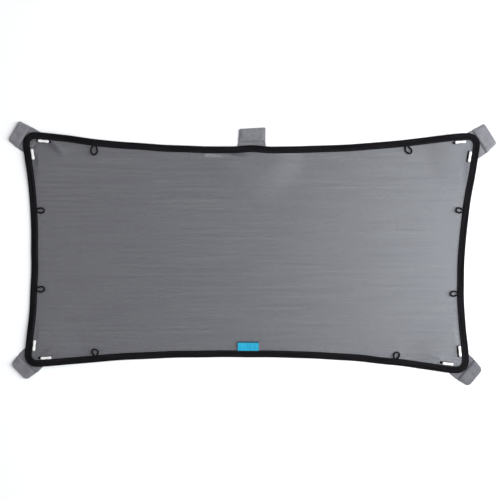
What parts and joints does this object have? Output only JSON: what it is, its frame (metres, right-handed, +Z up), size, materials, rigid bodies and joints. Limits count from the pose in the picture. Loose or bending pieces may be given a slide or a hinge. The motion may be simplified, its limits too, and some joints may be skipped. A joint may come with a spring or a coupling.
{
  "type": "car side window sunshade",
  "caption": "Flat stretch mesh sunshade with a black elastic edge, drawn-in sides and magnet pouches at its corners and top centre, for a car's side window.",
  "frame": {"origin": "on the surface that the shade lies on, below the middle of its box", "axes": "+X along the long top edge to the viewer's right, +Y towards the top edge with the centre pouch, +Z up out of the face"},
  "size_m": [0.6948, 0.376, 0.0083],
  "materials": {
    "shade_mesh": "matte",
    "elastic_binding": "matte",
    "pouch_fabric": "matte",
    "magnet_plating": "satin",
    "elastic_cord": "matte",
    "toggle_plastic": "satin",
    "label_tape": "satin"
  },
  "bodies": {
    "root": {"mesh_panel": "shade_mesh", "edge_binding": "elastic_binding", "pouch_top_left": "pouch_fabric", "pouch_top_centre": "pouch_fabric", "pouch_top_right": "pouch_fabric", "pouch_bottom_right": "pouch_fabric", "pouch_bottom_left": "pouch_fabric", "magnet_top_left": "magnet_plating", "magnet_top_centre": "magnet_plating", "magnet_top_right": "magnet_plating", "magnet_bottom_right": "magnet_plating", "magnet_bottom_left": "magnet_plating", "loop_top_left": "elastic_cord", "loop_top_right": "elastic_cord", "loop_right_upper": "elastic_cord", "loop_right_lower": "elastic_cord", "loop_bottom_right": "elastic_cord", "loop_bottom_left": "elastic_cord", "loop_left_lower": "elastic_cord", "loop_left_upper": "elastic_cord", "toggle_top_left": "toggle_plastic", "toggle_top_right": "toggle_plastic", "toggle_right_upper": "toggle_plastic", "toggle_right_lower": "toggle_plastic", "toggle_bottom_right": "toggle_plastic", "toggle_bottom_left": "toggle_plastic", "toggle_left_lower": "toggle_plastic", "toggle_left_upper": "toggle_plastic", "woven_label": "label_tape"}
  },
  "joints": []
}
